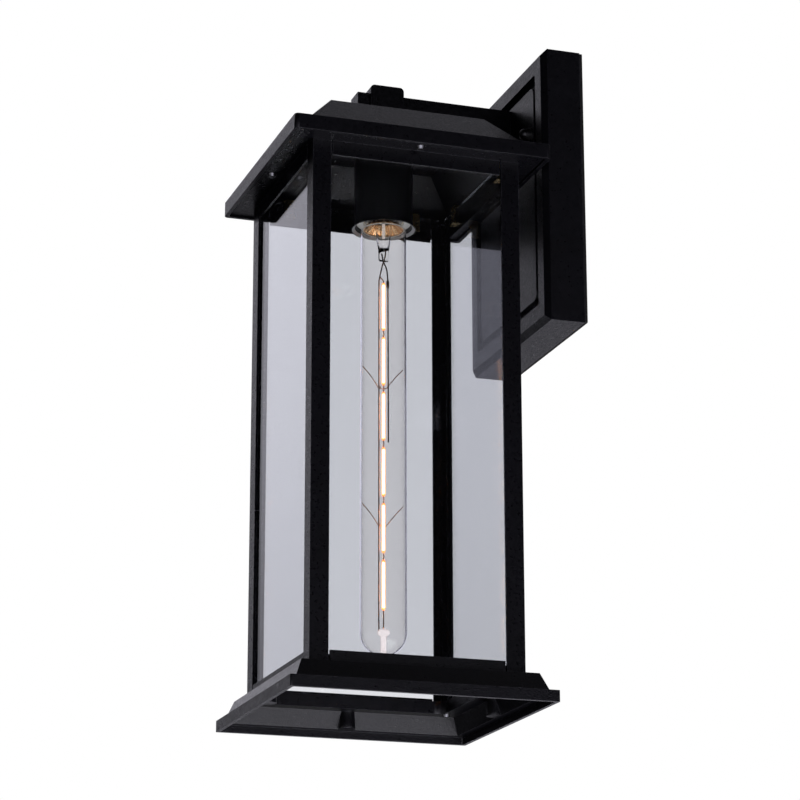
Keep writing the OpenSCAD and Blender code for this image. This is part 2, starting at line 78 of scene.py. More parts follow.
camera = bpy.data.objects.new("camera", bpy.data.cameras.new("camera"))
bpy.context.scene.collection.objects.link(camera)
camera.location = CAMERA_AT
camera.rotation_mode = "QUATERNION"
yaw, pitch = math.radians(CAMERA_YAW), math.radians(CAMERA_PITCH)
forward = Vector((-math.sin(yaw) * math.cos(pitch), math.cos(yaw) * math.cos(pitch), math.sin(pitch)))
roll = Matrix.Rotation(math.radians(CAMERA_ROLL), 3, "Z")
camera.rotation_quaternion = (forward.to_track_quat("-Z", "Y").to_matrix() @ roll).to_quaternion()
camera.data.lens = CAMERA_LENS
camera.data.sensor_width = 36
camera.data.clip_end = 50
bpy.context.scene.camera = camera


# ---------- shader helpers ----------

class Finish:
    """A material with its Principled shader and the few nodes that every finish here uses."""

    def __init__(self, name, **sockets):
        self.material = bpy.data.materials.new(name)
        self.material.use_nodes = True
        self.tree = self.material.node_tree
        self.shader = self.tree.nodes["Principled BSDF"]
        self.place = self.add("ShaderNodeTexCoord").outputs["Object"]
        for socket, value in sockets.items():
            self.shader.inputs[socket.replace("_", " ")].default_value = value

    def add(self, kind, **values):
        node = self.tree.nodes.new(kind)
        for key, value in values.items():
            setattr(node, key, value)
        return node

    def link(self, out, into):
        self.tree.links.new(out, into)

    def noise(self, scale, detail=3.0, stretch=(1, 1, 1)):
        mapping = self.add("ShaderNodeMapping")
        mapping.inputs["Scale"].default_value = stretch
        self.link(self.place, mapping.inputs["Vector"])
        node = self.add("ShaderNodeTexNoise")
        node.inputs["Scale"].default_value = scale
        node.inputs["Detail"].default_value = detail
        self.link(mapping.outputs["Vector"], node.inputs["Vector"])
        return node.outputs["Fac"]

    def cells(self, scale):
        node = self.add("ShaderNodeTexVoronoi")
        node.inputs["Scale"].default_value = scale
        self.link(self.place, node.inputs["Vector"])
        return node.outputs["Distance"]

    def spread(self, fac, low, high, start=0.3, end=0.7):
        """fac from start to end becomes low to high."""
        node = self.add("ShaderNodeMapRange")
        for socket, value in (("From Min", start), ("From Max", end), ("To Min", low), ("To Max", high)):
            node.inputs[socket].default_value = value
        self.link(fac, node.inputs["Value"])
        return node.outputs["Result"]

    def blend(self, fac, a, b):
        """Colour a where fac is 0 and b where it is 1; either may be a colour or a socket."""
        node = self.add("ShaderNodeMix", data_type="RGBA")
        self.link(fac, node.inputs["Factor"])
        for value, socket in ((a, node.inputs[6]), (b, node.inputs[7])):
            if isinstance(value, bpy.types.NodeSocket):
                self.link(value, socket)
            else:
                socket.default_value = (*value, 1)
        return node.outputs[2]

    def product(self, a, b):
        node = self.add("ShaderNodeMath", operation="MULTIPLY")
        self.link(a, node.inputs[0])
        self.link(b, node.inputs[1])
        return node.outputs[0]

    def bump(self, fac, depth, under=None):
        node = self.add("ShaderNodeBump")
        node.inputs["Distance"].default_value = depth
        self.link(fac, node.inputs["Height"])
        if under is not None:
            self.link(under, node.inputs["Normal"])
        return node.outputs["Normal"]

    def edges(self, radius):
        """1 along outside and inside edges, 0 on open faces."""
        round_normal = self.add("ShaderNodeBevel", samples=4)
        round_normal.inputs["Radius"].default_value = radius
        true_normal = self.add("ShaderNodeNewGeometry").outputs["Normal"]
        node = self.add("ShaderNodeVectorMath", operation="DOT_PRODUCT")
        self.link(round_normal.outputs["Normal"], node.inputs[0])
        self.link(true_normal, node.inputs[1])
        return self.spread(node.outputs["Value"], 1, 0, 0.80, 0.985)

    def finish(self, colour=None, roughness=None, normal=None, metallic=None):
        for socket, out in (("Base Color", colour), ("Roughness", roughness),
                            ("Normal", normal), ("Metallic", metallic)):
            if out is not None:
                self.link(out, self.shader.inputs[socket])
        return self.material


# ---------- finishes ----------

COAT_BLACK = (0.0030, 0.0029, 0.0046)
COAT_WORN = (0.021, 0.021, 0.026)
EDGE_WEAR_AND_HIGHLIGHT = 0.0005                       # metres from an edge that are lightened: rubbed wear on outside edges, a painted highlight in inside corners


def powder_coat(name, roughness, grain):
    """Fine-textured black powder coat: pebbled, a little uneven, and lighter along its edges, partly rubbed
    wear on outside edges and partly a painted highlight in inside corners.
    """
    f = Finish(name, IOR=1.5, Specular_IOR_Level=0.24)
    drift = f.noise(28, 4)
    body = f.blend(f.spread(drift, 0, 1), COAT_BLACK, tuple(c * 1.5 for c in COAT_BLACK))
    fleck = f.spread(f.noise(2600, 1), 0, 0.4, 0.60, 0.74)
    body = f.blend(fleck, body, COAT_WORN)
    # Lighter edges: rubbed wear on outside edges, and a painted highlight where faces meet in inside corners.
    edge_wear_and_highlight = f.product(f.edges(EDGE_WEAR_AND_HIGHLIGHT), f.spread(f.noise(160, 4), 0.1, 0.9, 0.35, 0.65))
    colour = f.blend(edge_wear_and_highlight, body, tuple(c * 3 for c in COAT_WORN))
    pebbles = f.bump(f.cells(1150), 0.00011 * grain)
    normal = f.bump(f.noise(3000, 2), 0.00006 * grain, pebbles)
    return f.finish(colour, f.spread(f.noise(420, 3), *roughness), normal)


def satin_paint(name, colour, roughness):
    """Thin satin paint with brushed-over scuffs."""
    f = Finish(name, IOR=1.5)
    scuffs = f.spread(f.noise(240, 5, (1, 1, 0.15)), 0, 0.6, 0.55, 0.8)
    shade = f.blend(scuffs, colour, tuple(min(1, 0.03 + c * 1.8) for c in colour))
    normal = f.bump(f.noise(1500, 2), 0.00003)
    return f.finish(shade, f.spread(f.noise(90, 4), roughness - 0.07, roughness + 0.09), normal)


def cup_paint(name, colour, lip, mouth):
    """Satin paint, with the underside of the flared lip pale below the height of mouth metres."""
    f = Finish(name, IOR=1.5)
    scuffs = f.spread(f.noise(240, 5, (1, 1, 0.15)), 0, 0.5, 0.55, 0.8)
    black = f.blend(scuffs, colour, tuple(c * 1.8 for c in colour))
    split = f.add("ShaderNodeSeparateXYZ")
    f.link(f.place, split.inputs[0])
    facing = f.add("ShaderNodeSeparateXYZ")
    f.link(f.add("ShaderNodeNewGeometry").outputs["Normal"], facing.inputs[0])
    low = f.spread(split.outputs[2], 1, 0, mouth, mouth + 0.0002)
    under = f.spread(facing.outputs[2], 1, 0, -0.35, -0.25)
    sloped = f.spread(facing.outputs[2], 0, 1, -0.97, -0.93)
    pale = f.blend(f.spread(f.noise(300, 3), 0, 1), lip, tuple(c * 0.85 for c in lip))
    shade = f.blend(f.product(low, f.product(under, sloped)), black, pale)
    return f.finish(shade, f.spread(f.noise(90, 4), 0.34, 0.5), f.bump(f.noise(1500, 2), 0.00003))


def neck_lining(name, lit_crease_colour, shaded_crease_colour):
    """Pressed metal lining whose creases run out from the axis, with a painted highlight and a painted shade
    along them in turn.
    """
    f = Finish(name, Metallic=1.0)
    shift = f.add("ShaderNodeVectorMath", operation="SUBTRACT")
    f.link(f.place, shift.inputs[0])
    shift.inputs[1].default_value = (AXIS_X, AXIS_Y, 0)
    angle = f.add("ShaderNodeTexGradient", gradient_type="RADIAL")
    f.link(shift.outputs[0], angle.inputs["Vector"])
    creases = f.add("ShaderNodeTexNoise", noise_dimensions="1D")
    creases.inputs["Scale"].default_value = 46
    creases.inputs["Detail"].default_value = 3
    f.link(angle.outputs["Fac"], creases.inputs["W"])
    # The creases alternate between a painted highlight colour and a painted shade colour.
    shade = f.blend(f.spread(creases.outputs["Fac"], 0, 1, 0.38, 0.62), shaded_crease_colour, lit_crease_colour)
    return f.finish(shade, f.spread(f.noise(300, 3), 0.16, 0.34), f.bump(creases.outputs["Fac"], 0.0006))


def bare_metal(name, light, dark, roughness, grain=(1, 1, 1), scale=380):
    """Plated or bare metal with fine drawn lines and dull spots."""
    f = Finish(name, Metallic=1.0)
    lines = f.noise(scale, 5, grain)
    shade = f.blend(f.spread(lines, 0, 1), light, dark)
    tarnish = f.spread(f.noise(95, 5), 0, 0.7, 0.52, 0.75)
    colour = f.blend(tarnish, shade, tuple(c * 0.75 for c in dark))
    normal = f.bump(lines, 0.00003)
    return f.finish(colour, f.spread(f.noise(150, 4), roughness - 0.08, roughness + 0.12), normal)


def clear_glass(name, tint, index, ripple, wave_scale):
    """Clear glass, faintly uneven, with a trace of haze."""
    f = Finish(name, Transmission_Weight=1.0, IOR=index)
    haze = f.spread(f.noise(60, 3), 0.0, 0.012, 0.45, 0.8)
    colour = f.blend(f.spread(f.noise(14, 2), 0, 1), tint, tuple(c * 0.985 for c in tint))
    normal = f.bump(f.noise(wave_scale, 2), ripple)
    return f.finish(colour, haze, normal)


def moulded(name, colour, roughness, grain_depth=0.00004, mottle=0.18):
    """Rubber, foam, insulation or moulded plastic."""
    f = Finish(name)
    shade = f.blend(f.spread(f.noise(120, 5), 0, 1), colour, tuple(c * (1 - mottle) for c in colour))
    normal = f.bump(f.noise(1400, 3), grain_depth)
    return f.finish(shade, f.spread(f.noise(220, 3), roughness - 0.06, roughness + 0.1), normal)


def glazed_and_glowing(name, colour, stain):
    """Glazed porcelain with fine crazing shade and a few stained pores, glowing faintly of its own: painted
    light standing in for light from the sticks.
    """
    # The emission is painted light: it stands in for the sticks' light, which the glass envelope keeps off.
    f = Finish(name, Coat_Weight=0.6, Coat_Roughness=0.08, Emission_Strength=0.22)
    f.shader.inputs["Emission Color"].default_value = (*colour, 1)
    shade = f.blend(f.spread(f.noise(70, 5), 0, 1), colour, tuple(c * 0.93 for c in colour))
    pores = f.spread(f.cells(900), 0.5, 0.0, 0.02, 0.12)
    normal = f.bump(f.noise(300, 2), 0.00005)
    return f.finish(f.blend(pores, shade, stain), f.spread(f.noise(90, 3), 0.22, 0.36), normal)


def phosphor(name, strength):
    """Lit filament coating, a deeper amber in its grain."""
    f = Finish(name, Emission_Strength=strength, Roughness=0.5)
    glow = f.blend(f.spread(f.noise(900, 3), 0, 1), (1.0, 0.80, 0.42), (1.0, 0.74, 0.34))
    f.link(glow, f.shader.inputs["Emission Color"])
    colour = f.blend(f.spread(f.noise(700, 3), 0, 1), (1.0, 0.72, 0.30), (0.95, 0.6, 0.2))
    return f.finish(colour, None, f.bump(f.noise(1800, 2), 0.00003))


def amber_sleeve(name):
    """Silicone over the lit stick: half clear, and glowing a deeper amber than the stick."""
    f = Finish(name, Emission_Strength=1.6, Roughness=0.35, Alpha=0.5)
    glow = f.blend(f.spread(f.noise(700, 3), 0, 1), (1.0, 0.32, 0.09), (1.0, 0.27, 0.07))
    f.link(glow, f.shader.inputs["Emission Color"])
    colour = f.blend(f.spread(f.noise(500, 3), 0, 1), (0.9, 0.5, 0.2), (0.8, 0.42, 0.15))
    return f.finish(colour, None, f.bump(f.noise(1500, 2), 0.00002))


def lit(material, colour, strength):
    """Gives a finished material an even glow of its own."""
    shader = material.node_tree.nodes["Principled BSDF"]
    shader.inputs["Emission Color"].default_value = (*colour, 1)
    shader.inputs["Emission Strength"].default_value = strength
    return material


CUP_LIP = 0.0014                         # height of the cup's flared lip above its mouth, in metres
CUP_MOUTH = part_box("socket_cup")[0].z
finishes = {
    "powder_coat": powder_coat("powder_coat", (0.27, 0.40), 1.0),
    "powder_coat_sheet": powder_coat("powder_coat_sheet", (0.25, 0.37), 0.75),
    "cup_black": cup_paint("cup_black", (0.010, 0.010, 0.012), (0.85, 0.85, 0.83), CUP_MOUTH + CUP_LIP),
    "black_screw": bare_metal("black_screw", (0.24, 0.24, 0.25), (0.10, 0.10, 0.11), 0.32),
    "black_nut": satin_paint("black_nut", (0.004, 0.004, 0.005), 0.48),
    "foam": moulded("foam", (0.004, 0.004, 0.005), 0.9, 0.0004, 0.4),
    "seal_rubber": moulded("seal_rubber", (0.02, 0.02, 0.021), 0.6),
    "zinc_plate": bare_metal("zinc_plate", (0.66, 0.67, 0.68), (0.50, 0.52, 0.55), 0.36, (1, 1, 0.08), 260),
    "zinc_screw": bare_metal("zinc_screw", (0.70, 0.71, 0.72), (0.52, 0.54, 0.57), 0.30),
    "green_screw": satin_paint("green_screw", (0.02, 0.24, 0.06), 0.3),
    "connector_plastic": moulded("connector_plastic", (0.06, 0.06, 0.065), 0.45),
    "black_insulation": moulded("black_insulation", (0.016, 0.016, 0.017), 0.42, 0.00002),
    "white_insulation": moulded("white_insulation", (0.78, 0.77, 0.73), 0.42, 0.00002, 0.08),
    "green_insulation": moulded("green_insulation", (0.03, 0.27, 0.07), 0.42, 0.00002),
    "pane_glass": clear_glass("pane_glass", (0.79, 0.80, 0.835), 1.48, 0.00002, 9),
    "lamp_glass": clear_glass("lamp_glass", (0.995, 0.985, 0.975), 1.24, 0.00006, 45),
    "clip_brass": bare_metal("clip_brass", (0.83, 0.64, 0.30), (0.64, 0.46, 0.20), 0.26, (0.1, 1, 1)),
    # porcelain and cap_insulator both glow faintly of their own, painted light standing in for light from the
    # sticks.
    "porcelain": glazed_and_glowing("porcelain", (0.80, 0.79, 0.74), (0.35, 0.32, 0.27)),
    "shell_brass": bare_metal("shell_brass", (0.85, 0.63, 0.30), (0.66, 0.45, 0.20), 0.30, (1, 1, 0.2)),
    "cap_metal": bare_metal("cap_metal", (0.80, 0.79, 0.77), (0.62, 0.61, 0.60), 0.24, (1, 1, 6)),
    "cap_insulator": glazed_and_glowing("cap_insulator", (0.018, 0.018, 0.022), (0.06, 0.06, 0.06)),
    "solder_tip": bare_metal("solder_tip", (0.62, 0.62, 0.64), (0.42, 0.42, 0.45), 0.42),
    "led_stick": phosphor("led_stick", 12.0),
    "lamp_wire": bare_metal("lamp_wire", (0.80, 0.47, 0.32), (0.42, 0.25, 0.19), 0.32),
}

for part in frame["record"]["subparts"]:
    node = nodes[part["node"]]
    node.data.materials.clear()
    node.data.materials.append(finishes[part["material_slot"]])


# ---------- soft edges on the metal parts ----------

def soften(name, width):
    """Breaks a CAD node's sharp edges by width millimetres."""
    node = nodes[name]
    weld = node.modifiers.new("weld", "WELD")
    weld.merge_threshold = 0.00001
    flat = node.modifiers.new("flat", "DECIMATE")
    flat.decimate_type = "DISSOLVE"
    flat.angle_limit = math.radians(0.6)
    bevel = node.modifiers.new("bevel", "BEVEL")
    bevel.width = width * MM
    bevel.segments = 2
    bevel.limit_method = "ANGLE"
    bevel.angle_limit = math.radians(32)
    bevel.harden_normals = True
    bevel.use_clamp_overlap = True


for name, width in {"wall_plate": 0.7, "arm": 0.7, "arm_collar": 0.8,
                    "roof": 0.7, "base": 0.7, "top_frame": 0.3}.items():
    soften(name, width)


# ---------- mesh helpers ----------

def new_piece(name, mesh, body, slot, finish=None, smooth=True):
    """Links a mesh as a piece that rides on body, in slot, with the slot's finish unless another is given."""
    piece = bpy.data.objects.new(name, mesh)
    bpy.context.scene.collection.objects.link(piece)
    for polygon in mesh.polygons:
        polygon.use_smooth = smooth
    mesh.materials.append(finish or finishes[slot])
    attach(piece, body)
    return piece


def grid_mesh(name, rows, closed_rows=False, caps=False):
    """A mesh from rings of points: every ring closes on itself, and neighbouring rings are joined."""
    mesh = bpy.data.meshes.new(name)
    count = len(rows[0])
    points = [p for ring in rows for p in ring]
    faces = []
    joins = len(rows) if closed_rows else len(rows) - 1
    for i in range(joins):
        a, b = i * count, ((i + 1) % len(rows)) * count
        for k in range(count):
            n = (k + 1) % count
            faces.append((a + k, a + n, b + n, b + k))
    if caps:
        faces.append(tuple(reversed(range(count))))
        faces.append(tuple(range(len(points) - count, len(points))))
    mesh.from_pydata(points, [], faces)
    mesh.validate()
    bm = bmesh.new()
    bm.from_mesh(mesh)
    bmesh.ops.recalc_face_normals(bm, faces=bm.faces)
    bm.to_mesh(mesh)
    bm.free()
    return mesh


def lathe(name, profile, sides=72, radius=None):
    """A closed outline of (radius, height) millimetres turned about the lantern's axis.
    radius(r, z, turn) may vary it round the axis, with turn from 0 to 1."""
    vary = radius or (lambda r, z, turn: r)
    rows = []
    for r, z in profile:
        ring = []
        for k in range(sides):
            turn = k / sides
            reach = vary(r, z, turn)
            ring.append(at(reach * math.cos(2 * math.pi * turn), reach * math.sin(2 * math.pi * turn), z))
        rows.append(ring)
    return grid_mesh(name, rows, closed_rows=True)


def smooth_path(points, steps):
    """Catmull-Rom curve through the points."""
    path = []
    last = len(points) - 1
    for i in range(last):
        a, b = points[max(i - 1, 0)], points[i]
        c, d = points[i + 1], points[min(i + 2, last)]
        for s in range(steps):
            t = s / steps
            path.append(0.5 * (2 * b + (c - a) * t + (2 * a - 5 * b + 4 * c - d) * t * t
                               + (3 * b - a - 3 * c + d) * t ** 3))
    path.append(points[last])
    return path


def sweep(name, points, radius, sides=12, steps=6):
    """A wire of radius metres along the points, with flat ends."""
    path = smooth_path(points, steps) if steps > 1 else list(points)
    last = len(path) - 1
    side = None
    rows = []
    for i, p in enumerate(path):
        tangent = (path[min(i + 1, last)] - path[max(i - 1, 0)]).normalized()
        if side is None:
            side = tangent.cross(Vector((0.31, 0.95, 0.07))).normalized()
        side = (side - tangent * side.dot(tangent)).normalized()
        up = tangent.cross(side)
        rows.append([p + radius * (math.cos(2 * math.pi * k / sides) * side
                                   + math.sin(2 * math.pi * k / sides) * up) for k in range(sides)])
    return grid_mesh(name, rows, caps=True)


def join_meshes(name, meshes):
    """One mesh out of several."""
    bm = bmesh.new()
    for mesh in meshes:
        bm.from_mesh(mesh)
    joined = bpy.data.meshes.new(name)
    bm.to_mesh(joined)
    bm.free()
    return joined


# ---------- leads and connectors behind the wall plate and in the arm ----------

LEAD_RADIUS = 1.05 * MM
arm_low, arm_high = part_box("arm")
ARM_MID = (arm_low.z + arm_high.z) / 2 / MM
REACH = -AXIS_Y / MM
LIVE_ROUTE = [(4.6, -REACH, 15.2), (2.2, -REACH, 18.2), (1.6, -REACH, 26), (1.5, -REACH, 50),
              (1.5, -REACH + 1, 59), (1.5, -REACH + 6, 64), (1.6, -REACH + 16, ARM_MID + 1),
              (1.6, -70, ARM_MID), (1.6, -40, ARM_MID), (1.7, -24, ARM_MID - 0.5),
              (5, -15, ARM_MID - 6), (16, -13.5, 44), (23, -13.5, 34), (24, -13.5, 24), (24, -13.5, 14)]
GROUND_ROUTE = [(-28.5, -7, -37), (-25, -9.5, -26), (-14, -12.5, -12), (-1, -13.5, -14),
                (4, -13.5, -24), (4, -13.5, -34)]


def lead(name, route, slot, node):
    points = [Vector(p) * MM for p in route]
    piece = new_piece(name, sweep(name, points, LEAD_RADIUS, sides=16, steps=8), "lantern", slot)
    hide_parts(node)


lead("live_lead", LIVE_ROUTE, "black_insulation", "lead_black")
lead("neutral_lead", [(-x, y, z) for x, y, z in LIVE_ROUTE], "white_insulation", "lead_white")
lead("earth_lead", GROUND_ROUTE, "green_insulation", "lead_ground")


def connector_radius(r, z, turn):
    """Flutes all round a twist-on connector, and a wing on each side."""
    if r < 3.5:
        return r
    flute = 0.22 * math.cos(2 * math.pi * 14 * turn) if 2 < z < 17 else 0
    half_turn = abs((turn + 0.25) % 0.5 - 0.25) * 2 * math.pi * r
    wing = max(0.0, 1 - (half_turn / 1.3) ** 4) if 6 < z < 17 else 0
    return r - 0.22 + flute + wing * (7.7 - r)


def connector(name, place, slot):
    profile = [(0.3, 0), (3.1, 0), (3.7, 0.6), (4.3, 3.5), (4.5, 5.9), (4.6, 6.6), (5.3, 11), (5.9, 16.4),
               (6.0, 17.1), (6.15, 19.5), (5.9, 20), (4.7, 20), (4.3, 18.6), (2.4, 9), (2.2, 7.2), (0.3, 7.0)]
    mesh = lathe(name, profile, 112, connector_radius)
    mesh.transform(Matrix.Translation(Vector(place) * MM - at(0, 0, 0)))
    piece = new_piece(name, mesh, "lantern", slot)
    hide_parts("wire_connectors")


connector("live_connector", (24, -13.5, 4), "connector_plastic")
connector("neutral_connector", (-24, -13.5, 4), "white_insulation")
connector("earth_connector", (4, -13.5, -44), "green_insulation")


# ---------- lampholder shell and lamp cap, both threaded ----------

PITCH = 25.4 / 7
THREAD_STEP = 0.3
THREAD_RUN_OUT = 1.2
cap_low, cap_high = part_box("bulb_cap")
shell_low, shell_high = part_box("lampholder_shell")
glass_low, glass_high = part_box("bulb_glass")
CAP = height_of(cap_low.z)
CAP_RADIUS = (cap_high.x - cap_low.x) / 2 / MM
SHELL = height_of(shell_low.z)
SHELL_TOP = height_of(shell_high.z)
SHELL_RADIUS = (shell_high.x - shell_low.x) / 2 / MM
TUBE_RADIUS = (glass_high.x - glass_low.x) / 2 / MM
TUBE_FOOT = height_of(glass_low.z)


def thread(z, turn):
    """1 on the crest of a right-hand rolled thread and 0 in its root."""
    return 0.5 + 0.5 * math.cos(2 * math.pi * (z / PITCH - turn))


def fade(z, low, high):
    """1 between low and high, falling to 0 over a short run-out beyond."""
    return max(0.0, min(1.0, (z - low) / THREAD_RUN_OUT + 1, (high - z) / THREAD_RUN_OUT + 1))


def threaded_rows(low, high):
    """Heights close enough together to draw the thread."""
    count = round((high - low) / THREAD_STEP)
    return [low + (high - low) * i / count for i in range(count + 1)]


def cap_radius(r, z, turn):
    """The cap's outside, rolled into its thread; the inside of its wall stays plain."""
    if r < CAP_RADIUS - 0.05:
        return r
    cut = 0.75 * fade(z, CAP + 3.5, CAP + 17.5)
    return CAP_RADIUS - cut * (1 - thread(z, turn))


cap_outside = [(CAP_RADIUS, z) for z in threaded_rows(CAP + 0.4, CAP + 19)]
cap_profile = ([(CAP_RADIUS - 0.25, CAP)] + cap_outside
               + [(12.4, CAP + 20.2), (11.0, CAP + 21.7), (9.6, CAP + 22.5), (9.0, CAP + 22.4),
                  (10.4, CAP + 21.2), (11.7, CAP + 19.4), (12.15, CAP + 17), (12.35, CAP + 8), (12.4, CAP)])
cap = new_piece("bulb_screw_cap", lathe("bulb_screw_cap", cap_profile, 96, cap_radius), "lamp", "cap_metal")
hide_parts("bulb_cap")


def shell_radius(r, z, turn):
    """Both faces of the shell's thin wall follow the thread."""
    if r < SHELL_RADIUS - 1:
        return r
    sink = 0.38 * fade(z, SHELL + 2, SHELL_TOP - 4) * (1 - thread(z, turn))
    return r - sink


shell_rows = threaded_rows(SHELL, SHELL_TOP - 0.3)
shell_inside = SHELL_RADIUS - 0.35
shell_profile = ([(SHELL_RADIUS, z) for z in shell_rows]
                 + [(SHELL_RADIUS - 0.4, SHELL_TOP), (7.5, SHELL_TOP), (7.5, SHELL_TOP - 0.5)]
                 + [(shell_inside, z - 0.2) for z in reversed(shell_rows[1:])] + [(shell_inside, SHELL)])
shell = new_piece("lampholder_screw_shell", lathe("lampholder_screw_shell", shell_profile, 96, shell_radius),
                  "lantern", "shell_brass")
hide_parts("lampholder_shell")


# ---------- inside the lamp ----------

stick_low, stick_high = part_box("bulb_filaments")
STICK_TOP = height_of(stick_high.z)
STICK_PITCH = 38.5
STRING_LENGTH = STICK_TOP - height_of(stick_low.z)
STICKS = round(STRING_LENGTH / STICK_PITCH)
STICK_LENGTH = STRING_LENGTH - (STICKS - 1) * STICK_PITCH
STICK_RADIUS = (stick_high.x - stick_low.x) / 2 / MM
CORE_SHARE = 0.56                        # of the stick's radius that is white hot, inside its sleeve
DIM_END = 1.4                            # millimetres at each end of a stick that glow less


def stick(top, share):
    """A coated rod with rounded ends, a little flat on the side where its tabs lie."""
    sides = 24
    ends = [(0.0, 0.35), (0.25, 0.75), (0.8, 0.95), (1.7, 1.0)]
    steps = ends + [(STICK_LENGTH / 2, 1.0)] + [(STICK_LENGTH - d, k) for d, k in reversed(ends)]
    rows = []
    for down, k in steps:
        r = STICK_RADIUS * k * share
        rows.append([at(r * math.cos(2 * math.pi * n / sides) * (0.82 if n in range(7, 18) else 1),
                        r * math.sin(2 * math.pi * n / sides), top - down) for n in range(sides)])
    return grid_mesh("stick", rows, caps=True)


def string_of_sticks(name, share):
    """All the sticks, end to end, at a share of their radius."""
    return join_meshes(name, [stick(STICK_TOP - i * STICK_PITCH, share) for i in range(STICKS)])


sticks = string_of_sticks("bulb_filament_sticks", CORE_SHARE)
filaments = new_piece("bulb_filament_sticks", sticks, "lamp", "led_stick")
sticks.materials.append(phosphor("led_end", 0.75))
for polygon in sticks.polygons:
    down = (STICK_TOP - height_of(polygon.center.z)) % STICK_PITCH
    if down < DIM_END or down > STICK_LENGTH - DIM_END:
        polygon.material_index = 1
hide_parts("bulb_filaments")
sleeves = string_of_sticks("bulb_filament_sleeves", 1.0)
sleeve = new_piece("bulb_filament_sleeves", sleeves, "lamp", "led_stick", amber_sleeve("amber_sleeve"))
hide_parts("bulb_filaments")

FORK = CAP - 27                          # where the two feed wires cross below the stem
STRING_FOOT = STICK_TOP - STICKS * STICK_PITCH
BEAD = 53                                # foot of the glass bead that steadies the string


def lamp_wire(name, points, radius, steps=5):
    """A wire inside the lamp; its points and radius are in millimetres."""
    return sweep(name, [at(*p) for p in points], radius * MM, sides=10, steps=steps)


def tab(top):
    """The strip that carries on from one stick to the next, with a kink in the gap."""
    low = top - (STICK_PITCH - STICK_LENGTH)
    mid = (top + low) / 2
    return lamp_wire("tab", [(0, 0, top + 0.4), (-0.1, 0.1, top - 0.8), (-0.5, 0.5, mid),
                             (0, -0.1, low + 0.8), (0, 0, low - 0.4)], 0.36)


def spring(z):
    """A pair of sprung wires from the middle out to the tube's wall, wound once round the return rod."""
    reach_out = TUBE_RADIUS - 1.35
    arms = [lamp_wire("arm", [(-1.9, s * 0.8, z - 0.3), (-1.9, s * 2.6, z), (-1.7, s * 5.4, z + 3.6),
                              (-1.2, s * 9.4, z + 8.6), (-0.9, s * (reach_out - 0.4), z + 13.2),
                              (-0.8, s * reach_out, z + 13.9)], 0.3) for s in (-1, 1)]
    coil = [(-1.1 * math.cos(a), -3.2 + 1.0 * math.sin(a), z - 0.6 + a * 0.12)
            for a in (k * math.pi / 3 for k in range(9))]
    return arms + [lamp_wire("coil", coil, 0.26, 3),
                   lamp_wire("bar", [(-1.9, -2.6, z), (-1.9, 0, z - 0.5), (-1.9, 2.6, z)], 0.3)]


return_rod = [(0, -3.0, BEAD + 3.6), (0, -3.2, BEAD + 8), (0, -3.2, STRING_FOOT + 10),
              (0, -3.2, STICK_TOP - 120), (0, -3.2, STICK_TOP - 60), (0, -3.2, STICK_TOP - 4),
              (0, -3.0, STICK_TOP + 2), (0.1, -0.9, FORK - 5), (0.3, 0.9, FORK + 1.5), (0.2, 1.3, FORK + 6)]
top_feed = [(0, 0, STICK_TOP - 0.2), (0, -0.2, STICK_TOP + 1.4), (0, -1.6, STICK_TOP + 3),
            (0, -2.7, STICK_TOP + 4.2)]
foot_leg = [(0, 0, STRING_FOOT + 4.6), (0.1, 0.1, STRING_FOOT + 1), (0, 0, BEAD + 5.1)]
copper = [tab(STICK_TOP - STICK_LENGTH - i * STICK_PITCH) for i in range(STICKS - 1)]
copper += [lamp_wire("rod", return_rod, 0.46), lamp_wire("feed", top_feed, 0.36),
           lamp_wire("leg", foot_leg, 0.42)]
for below_top in (74, 169):
    copper += spring(STICK_TOP - below_top)
supports = new_piece("bulb_support_wires", join_meshes("bulb_support_wires", copper), "lamp", "lamp_wire")
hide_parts("bulb_supports")

steady_wire = [(0, 3.4, STICK_TOP - 112), (0, 3.3, STICK_TOP - 60), (0, 3.1, STICK_TOP - 4),
               (0, 3.0, STICK_TOP + 2.6), (-0.1, 2.2, FORK - 7), (-0.3, -0.3, FORK - 1),
               (-0.3, -1.2, FORK + 4)]
crimp = sweep("crimp", [at(0, 3.05, STICK_TOP - 3.2), at(0, 3.02, STICK_TOP + 1.6)], 0.95 * MM, 12, 1)
dark_wires = join_meshes("bulb_steady_wire", [lamp_wire("steady", steady_wire, 0.48), crimp])
steady = new_piece("bulb_steady_wire", dark_wires, "lamp", "lamp_wire",
                   bare_metal("dark_wire", (0.20, 0.16, 0.14), (0.07, 0.055, 0.05), 0.38), smooth=False)
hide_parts("bulb_supports")


def oval_skin(name, stations):
    """Rings of (half width along x, half width along y, height), joined into a closed skin."""
    sides = 40
    rows = [[at(a * math.cos(2 * math.pi * k / sides), b * math.sin(2 * math.pi * k / sides), z)
             for k in range(sides)] for a, b, z in stations]
    return grid_mesh(name, rows, closed_rows=True)


